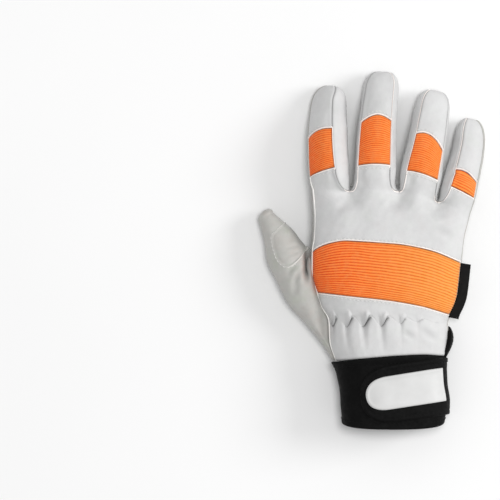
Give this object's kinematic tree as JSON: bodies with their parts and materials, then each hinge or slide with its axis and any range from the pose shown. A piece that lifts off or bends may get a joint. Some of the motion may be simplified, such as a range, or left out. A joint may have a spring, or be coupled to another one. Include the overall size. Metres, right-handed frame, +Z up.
{
  "type": "leather work glove",
  "caption": "Right-hand leather work glove with ribbed knuckle band and patches, gathered wrist and a neoprene cuff with a strap, lying palm down.",
  "frame": {"origin": "middle of the footprint, on the surface that the glove lies on", "axes": "+Z up out of the back of the hand, +Y along the fingers away from the cuff, -X towards the thumb"},
  "size_m": [0.1649, 0.2602, 0.0466],
  "materials": {
    "leather": "soft grain leather, off-white, matt to satin",
    "ribbed_knit": "orange ribbed stretch knit",
    "neoprene": "black jersey-faced neoprene",
    "badge_rubber": "smooth off-white moulded rubber, bare",
    "woven_label": "black woven satin tape, bare"
  },
  "bodies": {
    "root": {"back_panel": "leather", "knuckle_band": "ribbed_knit", "wrist_panel": "leather", "index_patch": "ribbed_knit", "index_tip": "leather", "middle_patch": "ribbed_knit", "middle_tip": "leather", "ring_patch": "ribbed_knit", "ring_tip": "leather", "little_patch": "ribbed_knit", "little_tip": "leather", "index_middle_fourchette": "leather", "middle_ring_fourchette": "leather", "ring_little_fourchette": "leather", "palm_panel": "leather", "thumb_shell": "leather", "thumb_patch": "leather", "cuff": "neoprene", "cuff_strap": "neoprene", "strap_badge": "badge_rubber", "cuff_gusset": "neoprene", "side_label": "woven_label"}
  },
  "joints": []
}
